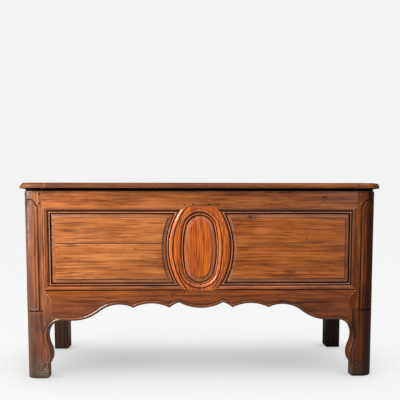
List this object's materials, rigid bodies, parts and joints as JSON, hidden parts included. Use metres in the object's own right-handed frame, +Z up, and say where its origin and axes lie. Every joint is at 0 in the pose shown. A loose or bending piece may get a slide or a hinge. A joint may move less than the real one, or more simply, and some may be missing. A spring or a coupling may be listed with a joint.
{
  "type": "carved oak coffer",
  "caption": "Long oak chest on legs with a hinged lid, fielded panels, a carved oval on the front muntin and a scalloped apron.",
  "frame": {"origin": "centre of the footprint's bounding box, on the floor under the feet", "axes": "+X along the chest towards the right end as seen from the front, +Y from the carved front towards the back, +Z up"},
  "size_m": [1.487, 0.6355, 0.8065],
  "materials": {
    "oak_post": "waxed old oak, worn on the raised edges, dark wax in the carving",
    "oak_front_rail": "waxed old oak with a satin polish",
    "oak_muntin": "waxed old oak with a satin polish",
    "oak_front_panel": "waxed old oak, lighter and more orange than the frame",
    "oak_lid": "waxed old oak, worn by use",
    "oak_cleat": "waxed old oak, worn by use",
    "oak_side": "waxed old oak, duller than the front",
    "oak_back": "unpolished oak darkened by age",
    "oak_inside": "bare oak, never waxed",
    "oak_peg": "end grain of cleft oak pegs",
    "forged_iron": "hand-forged iron, dark and slightly rusted"
  },
  "bodies": {
    "carcass": {"front_post_left": "oak_post", "front_post_right": "oak_post", "rear_post_left": "oak_back", "rear_post_right": "oak_back", "front_top_rail": "oak_front_rail", "front_apron_rail": "oak_front_rail", "centre_muntin": "oak_muntin", "front_panel_left_upper": "oak_front_panel", "front_panel_left_lower": "oak_front_panel", "front_panel_right_upper": "oak_front_panel", "front_panel_right_lower": "oak_front_panel", "side_top_rail_left": "oak_side", "side_top_rail_right": "oak_side", "side_bottom_rail_left": "oak_side", "side_bottom_rail_right": "oak_side", "side_panel_left": "oak_side", "side_panel_right": "oak_side", "back_top_rail": "oak_back", "back_bottom_rail": "oak_back", "back_muntin": "oak_back", "back_panel_left": "oak_back", "back_panel_right": "oak_back", "floor_board_front": "oak_inside", "floor_board_middle": "oak_inside", "floor_board_back": "oak_inside", "floor_ledger_front": "oak_inside", "floor_ledger_back": "oak_inside", "floor_ledger_left": "oak_inside", "floor_ledger_right": "oak_inside", "floor_bearer": "oak_inside", "ledger_nails": "forged_iron", "floor_nails": "forged_iron", "hinge_leaf_left": "forged_iron", "hinge_leaf_right": "forged_iron", "hinge_pin_left": "forged_iron", "hinge_pin_right": "forged_iron", "hinge_leaf_nails": "forged_iron", "front_frame_pegs": "oak_peg", "muntin_pegs": "oak_peg", "side_frame_pegs": "oak_peg", "back_frame_pegs": "oak_peg"},
    "lid": {"lid_board_front": "oak_lid", "lid_board_middle": "oak_lid", "lid_board_back": "oak_lid", "lid_cleat_left": "oak_cleat", "lid_cleat_right": "oak_cleat", "lid_cleat_pegs": "oak_peg", "hinge_strap_left": "forged_iron", "hinge_strap_right": "forged_iron", "hinge_strap_nails": "forged_iron"}
  },
  "joints": [
    {"name": "lid_hinge", "type": "hinge", "parent": "carcass", "child": "lid", "pos_m": [0, 0.31225, 0.7855], "axis": [-1, 0, 0], "range_deg": [0, 100]}
  ]
}
